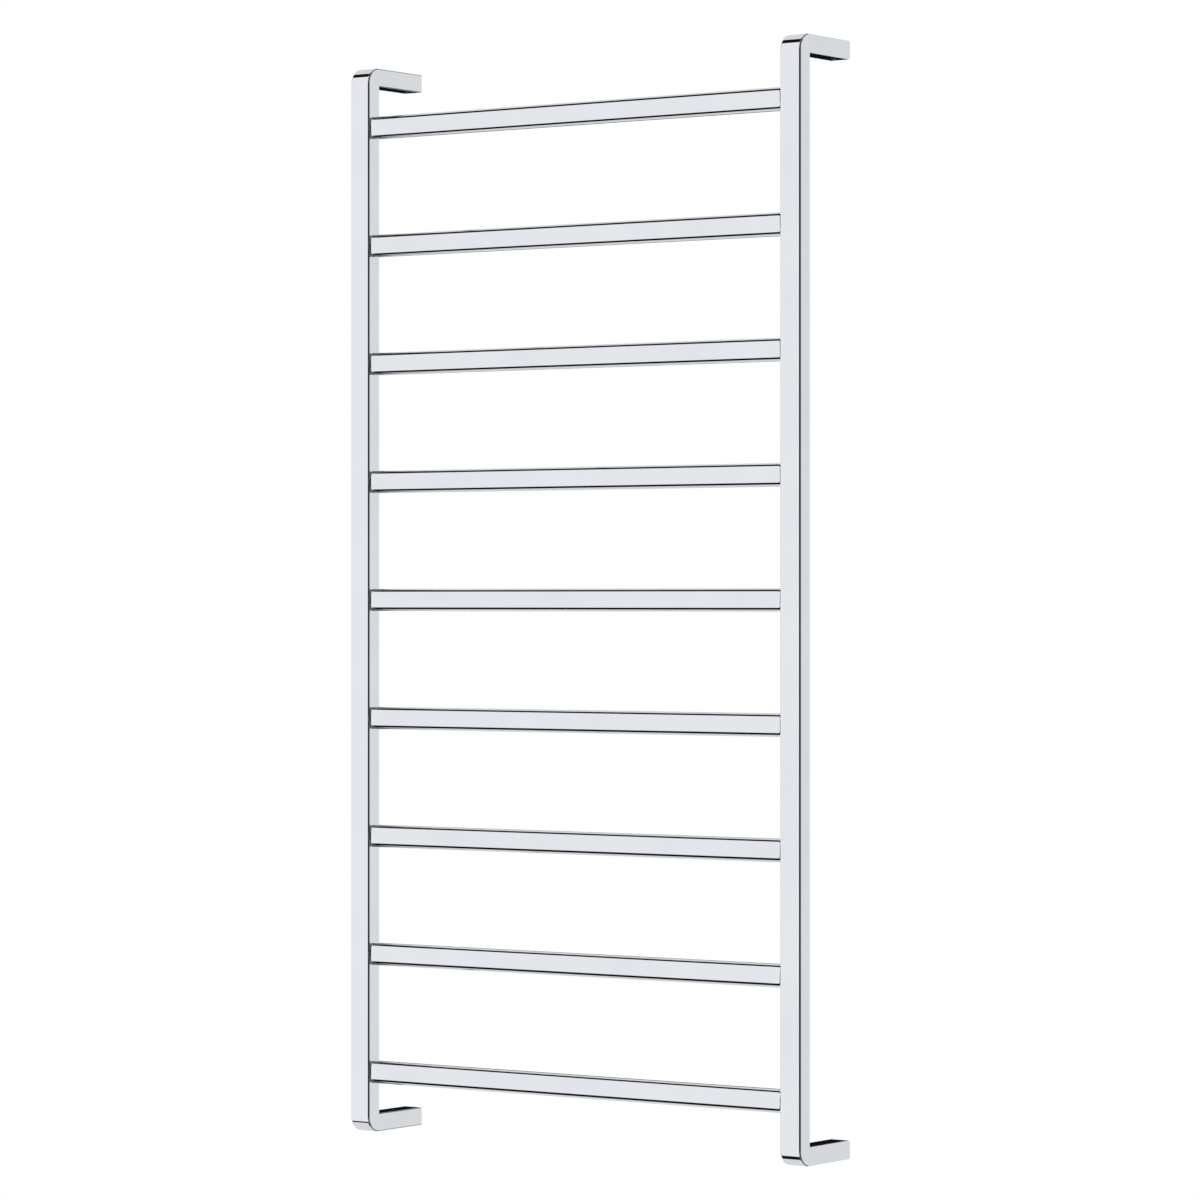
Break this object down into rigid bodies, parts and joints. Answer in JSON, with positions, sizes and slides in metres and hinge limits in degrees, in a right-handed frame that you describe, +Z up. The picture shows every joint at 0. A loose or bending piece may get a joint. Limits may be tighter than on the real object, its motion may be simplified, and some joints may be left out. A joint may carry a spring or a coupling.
{
  "type": "towel warmer rack",
  "caption": "Wall-hung electric towel warmer: chromed ladder of rounded rectangular rungs between two flat uprights folded back to the wall at top and bottom.",
  "frame": {"origin": "on the wall plane, at the middle of the rack in width and height", "axes": "+X along the rungs to the right as seen from the room, +Y into the wall, +Z up"},
  "size_m": [0.604, 0.098, 1.2],
  "materials": {
    "chrome_tube": "polished chrome plate",
    "cast_bracket": "as-cast matt",
    "steel_screw": "plain stainless",
    "silicone_cable": "matt silicone",
    "black_rubber": "matt moulded rubber",
    "cutout_body": "moulded, matt",
    "shrink_sleeve": "shrunk tube, satin",
    "brass_terminal": "plain brass",
    "earth_insulation": "green insulation with a yellow stripe"
  },
  "bodies": {
    "root": {"left_upright": "chrome_tube", "right_upright": "chrome_tube", "rung_1": "chrome_tube", "rung_2": "chrome_tube", "rung_3": "chrome_tube", "rung_4": "chrome_tube", "rung_5": "chrome_tube", "rung_6": "chrome_tube", "rung_7": "chrome_tube", "rung_8": "chrome_tube", "rung_9": "chrome_tube", "wall_bracket_upper_left": "cast_bracket", "wall_bracket_upper_right": "cast_bracket", "wall_bracket_lower_left": "cast_bracket", "wall_bracket_lower_right": "cast_bracket", "grub_screw_upper_left": "steel_screw", "grub_screw_upper_right": "steel_screw", "grub_screw_lower_left": "steel_screw", "grub_screw_lower_right": "steel_screw", "heating_cable": "silicone_cable", "link_lead": "silicone_cable", "cable_end_cap": "black_rubber", "cable_grommet": "black_rubber", "thermal_cutout": "cutout_body", "cold_joint_sleeve": "shrink_sleeve", "earth_stud": "brass_terminal", "earth_nut": "brass_terminal", "earth_ring_terminal": "brass_terminal", "earth_lead": "earth_insulation"}
  },
  "joints": []
}
